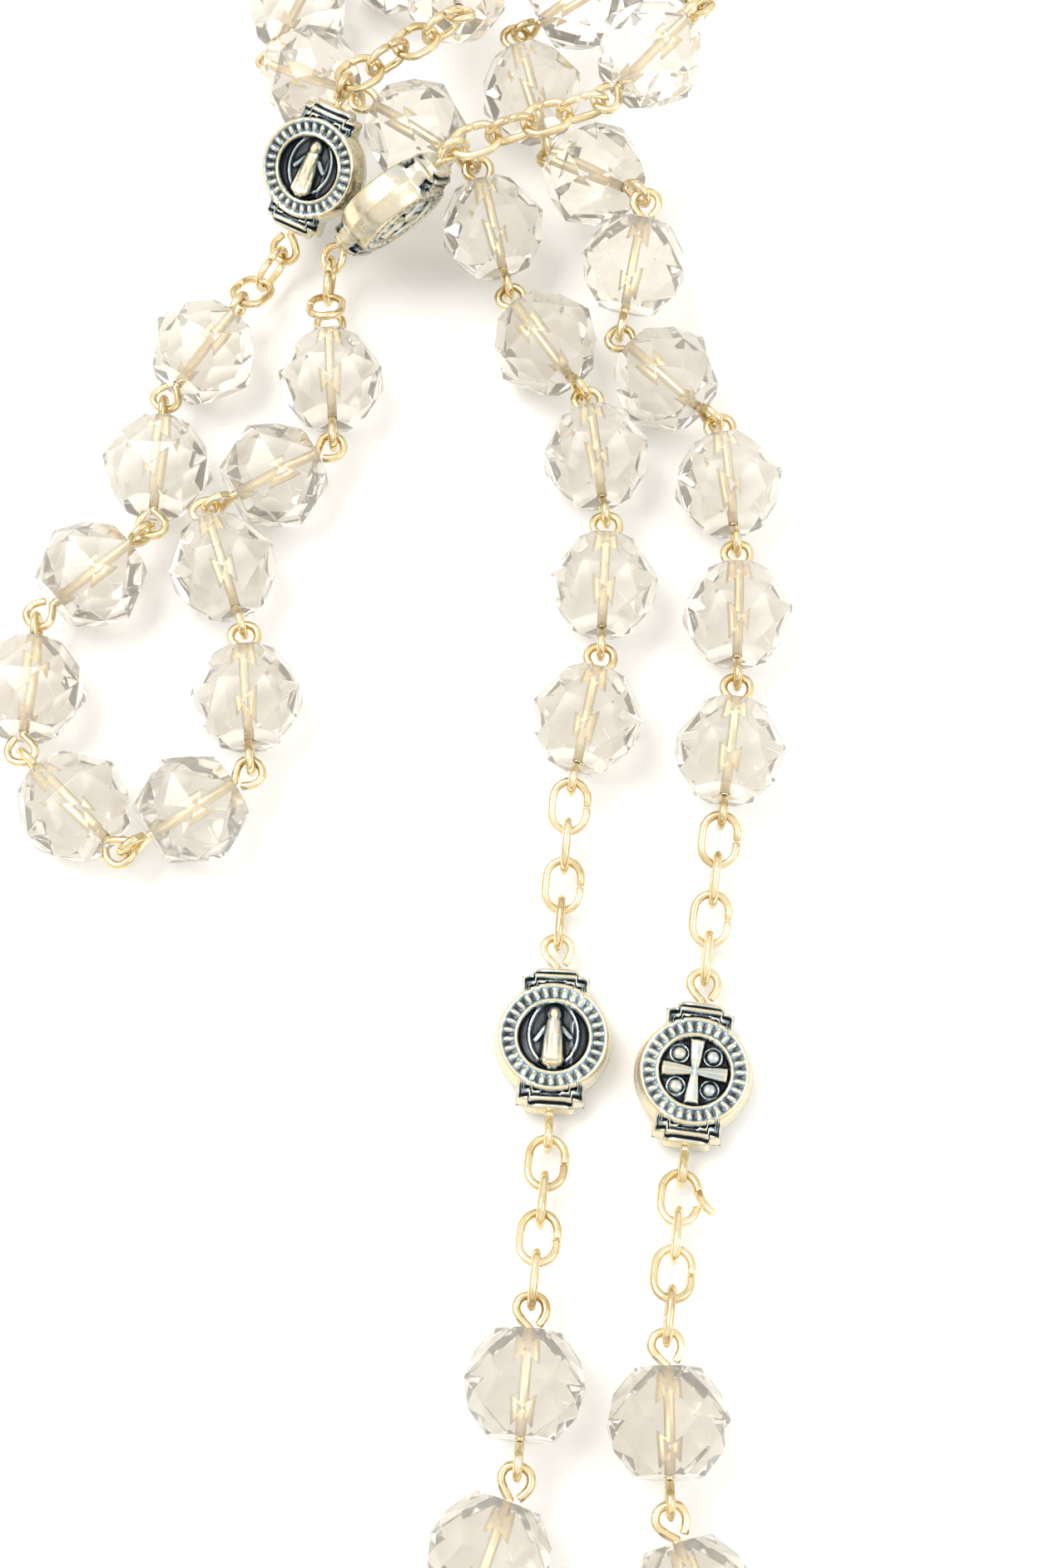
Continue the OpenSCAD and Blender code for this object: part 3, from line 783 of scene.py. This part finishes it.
def cross_outline():
    """The outline of a Latin cross with a round knob on each arm, anticlockwise."""
    points = []
    for heading, length in [(0, CROSS_LEN - ARM_X), (90, CROSS_WID / 2), (180, ARM_X),
                            (270, CROSS_WID / 2)]:
        c, s = math.cos(math.radians(heading)), math.sin(math.radians(heading))
        start = math.degrees(math.asin(BAR / 2 / KNOB))
        arm = [(BAR / 2, -BAR / 2)]
        arm += [(length - KNOB - KNOB * math.cos(math.radians(start)) * 1.35, -BAR / 2)]
        arm += [(length - KNOB + KNOB * math.cos(math.radians(d)),
                 KNOB * math.sin(math.radians(d)))
                for d in np.linspace(start - 180, 180 - start, 25)]
        arm += [(arm[1][0], BAR / 2)]
        points += [(ARM_X + u * c - v * s, u * s + v * c) for u, v in arm]
    return points


def cross_object():
    soup = Soup()
    ring = np.array(cross_outline())
    n = len(ring)

    def inset(ring, by):
        before, after = np.roll(ring, 1, axis=0), np.roll(ring, -1, axis=0)
        d1, d2 = ring - before, after - ring
        d1 /= np.linalg.norm(d1, axis=1)[:, None]
        d2 /= np.linalg.norm(d2, axis=1)[:, None]
        n1, n2 = np.stack([-d1[:, 1], d1[:, 0]], 1), np.stack([-d2[:, 1], d2[:, 0]], 1)
        mid = n1 + n2
        return ring + by * mid / (1 + (n1 * n2).sum(1))[:, None].clip(0.4)

    levels = [(0.22, 0.0, 0.6), (0.0, 0.25, 0.75), (0.0, 1.95, 0.75), (0.1, 2.25, 0.9),
              (0.32, 2.45, 0.95), (0.55, 2.38, 0.85), (0.7, 2.1, 0.05), (0.95, 2.06, 0.35)]
    verts, shade = [], []
    for by, z, dark in levels:
        row = inset(ring, by)
        verts += [(x, y, z) for x, y in row]
        shade += [dark] * n
    faces = [[r * n + i, r * n + (i + 1) % n, (r + 1) * n + (i + 1) % n, (r + 1) * n + i]
             for r in range(len(levels) - 1) for i in range(n)]
    faces.append([i for i in reversed(range(n))])
    faces.append([(len(levels) - 1) * n + i for i in range(n)])
    soup.add(place(CROSS, verts), faces, shade)
    obj = soup.object("cross_relief", [SILVER], smooth=False)
    bm = bmesh.new()
    bm.from_mesh(obj.data)
    bmesh.ops.triangulate(bm, faces=[f for f in bm.faces if len(f.verts) > 4])
    bmesh.ops.recalc_face_normals(bm, faces=bm.faces)
    bm.to_mesh(obj.data)
    bm.free()
    return obj


finish_piece(cross_object(), "cross")
soup = Soup()
turn = CROSS @ np.array(Matrix.Rotation(math.pi, 4, "Z"))
eye_ring(soup, turn, -0.2, CROSS_T / 2)
eyes = soup.object("cross_eye", [GOLD])
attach(eyes, "cross")


def corpus_object():
    """A plain figure on the cross, joined from rounded limbs by a voxel remesh."""
    bm = bmesh.new()

    def ball(at, radii, tilt=0.0):
        m = (Matrix.Translation(at) @ Matrix.Rotation(tilt, 4, "Z")
             @ Matrix.Diagonal((*radii, 1.0)))
        bmesh.ops.create_icosphere(bm, subdivisions=3, radius=1.0, matrix=m)

    def limb(a, b, ra, rb):
        a, b = Vector(a), Vector(b)
        for k in range(9):
            t = k / 8
            r = ra + (rb - ra) * t
            ball(a.lerp(b, t), (r, r, r))

    ball((-1.85, 0.2, 0.85), (1.25, 1.1, 0.95), 0.15)
    ball((-1.6, 0.25, 1.25), (1.0, 0.78, 0.85), 0.15)
    ball((-0.75, 0.3, 1.3), (0.42, 0.42, 0.5), 0.15)
    limb((-1.75, 0.26, 2.06), (-1.3, 0.3, 2.12), 0.07, 0.13)
    limb((-1.95, -0.05, 1.98), (-1.9, 0.55, 1.98), 0.1, 0.1)
    for side in (-1, 1):
        ball((-1.66, 0.26 + side * 0.3, 1.95), (0.11, 0.16, 0.1))
    limb((-0.9, 0.1, 0.8), (0.1, 0, 0.8), 0.5, 0.6)
    ball((1.1, 0, 0.75), (1.9, 1.4, 0.95))
    ball((0.9, 0.6, 1.15), (0.9, 0.62, 0.55))
    ball((0.9, -0.6, 1.15), (0.9, 0.62, 0.55))
    ball((3.1, 0, 0.65), (1.5, 1.02, 0.8))
    ball((5.0, 0, 0.75), (1.5, 1.3, 0.95))
    limb((4.0, -1.1, 0.9), (5.2, 1.2, 1.15), 0.3, 0.35)
    limb((4.7, -1.2, 0.9), (6.0, 1.0, 1.15), 0.28, 0.32)
    limb((5.4, -1.15, 0.85), (6.6, 0.5, 1.1), 0.25, 0.3)
    limb((4.7, 1.3, 0.9), (7.0, 1.6, 0.5), 0.4, 0.22)
    for side in (-1, 1):
        limb((0.0, side * 1.1, 0.85), (-0.35, side * 4.2, 0.75), 0.6, 0.42)
        limb((-0.35, side * 4.2, 0.75), (-0.85, side * 7.1, 0.55), 0.42, 0.28)
        limb((-0.85, side * 7.1, 0.55), (-1.05, side * 7.95, 0.5), 0.36, 0.26)
        limb((5.6, side * 0.6, 0.8), (8.8, side * 0.42, 1.3), 0.82, 0.58)
        limb((8.8, side * 0.42, 1.3), (12.2, side * 0.22, 0.7), 0.58, 0.36)
        limb((12.2, side * 0.22, 0.7), (13.9, side * 0.15, 0.85), 0.36, 0.3)
    m = Matrix(CROSS.tolist()) @ Matrix.Translation((ARM_X, 0, CROSS_T - 0.35))
    bmesh.ops.transform(bm, matrix=Matrix.Scale(MM, 4) @ m, verts=bm.verts)
    mesh = bpy.data.meshes.new("corpus_figure")
    bm.to_mesh(mesh)
    bm.free()
    obj = bpy.data.objects.new("corpus_figure", mesh)
    bpy.context.scene.collection.objects.link(obj)
    remesh = obj.modifiers.new("join", "REMESH")
    remesh.mode, remesh.voxel_size, remesh.use_smooth_shade = "VOXEL", 0.11 * MM, True
    soften = obj.modifiers.new("soften", "SMOOTH")
    soften.factor, soften.iterations = 0.5, 3
    graph = bpy.context.evaluated_depsgraph_get()
    joined = bpy.data.meshes.new_from_object(obj.evaluated_get(graph))
    obj.modifiers.clear()
    obj.data = joined
    joined.materials.clear()
    joined.materials.append(GOLD)
    return obj


finish_piece(corpus_object(), "corpus")


# ---- floor, light and camera ----

floor = Soup()
lines = np.linspace(-FLOOR_HALF, FLOOR_HALF, FLOOR_LINES)
grid = [(x, y + 80, FLOOR_Z) for y in lines for x in lines]
quads = [[k, k + 1, k + FLOOR_LINES + 1, k + FLOOR_LINES]
         for i in range(FLOOR_LINES - 1)
         for k in range(i * FLOOR_LINES, (i + 1) * FLOOR_LINES - 1)]
floor.add(grid, quads)
floor = floor.object("floor", [floor_material()])

world = bpy.data.worlds.new("studio")
bpy.context.scene.world = world
world.use_nodes = True
tree = world.node_tree
back = tree.nodes["Background"]
where = tree.nodes.new("ShaderNodeTexCoord")
split = tree.nodes.new("ShaderNodeSeparateXYZ")
tree.links.new(where.outputs["Generated"], split.inputs[0])
sky = ramp(tree, split.outputs["Z"],
           [(0.0, (1.0, 0.9, 0.75)), (0.08, (0.24, 0.19, 0.13)), (0.15, (0.3, 0.25, 0.19)),
            (0.2, (1.0, 0.93, 0.82)), (0.6, (1.0, 0.98, 0.94))])
tree.links.new(sky.outputs["Color"], back.inputs["Color"])
back.inputs["Strength"].default_value = 1.12


def area(name, at, to, size, power, colour=(1, 1, 1)):
    data = bpy.data.lights.new(name, "AREA")
    data.shape, data.size, data.size_y = "RECTANGLE", size[0] * MM, size[1] * MM
    data.energy, data.color = power, colour
    lamp = bpy.data.objects.new(name, data)
    bpy.context.scene.collection.objects.link(lamp)
    lamp.location = Vector(at) * MM
    lamp.rotation_euler = (Vector(to) - Vector(at)).to_track_quat("-Z", "Y").to_euler()


area("key", (-160, 190, 330), (0, 110, 0), (260, 180), 0.8, (1.0, 0.97, 0.92))
area("fill", (260, 40, 260), (0, 110, 0), (200, 260), 0.25, (0.93, 0.97, 1.0))

camera = bpy.data.cameras.new("camera")
camera.lens, camera.sensor_width, camera.sensor_fit = 53.5, 36, "AUTO"
camera.clip_start, camera.clip_end = 0.005, 5
camera = bpy.data.objects.new("camera", camera)
bpy.context.scene.collection.objects.link(camera)
camera.location = Vector((-4.6, 74.7, 154.4)) * MM
aim = Vector((-4.6, 135.5, 0)) * MM - camera.location
camera.rotation_euler = aim.to_track_quat("-Z", "Y").to_euler()
bpy.context.scene.camera = camera
bpy.context.scene.view_settings.view_transform = "Standard"
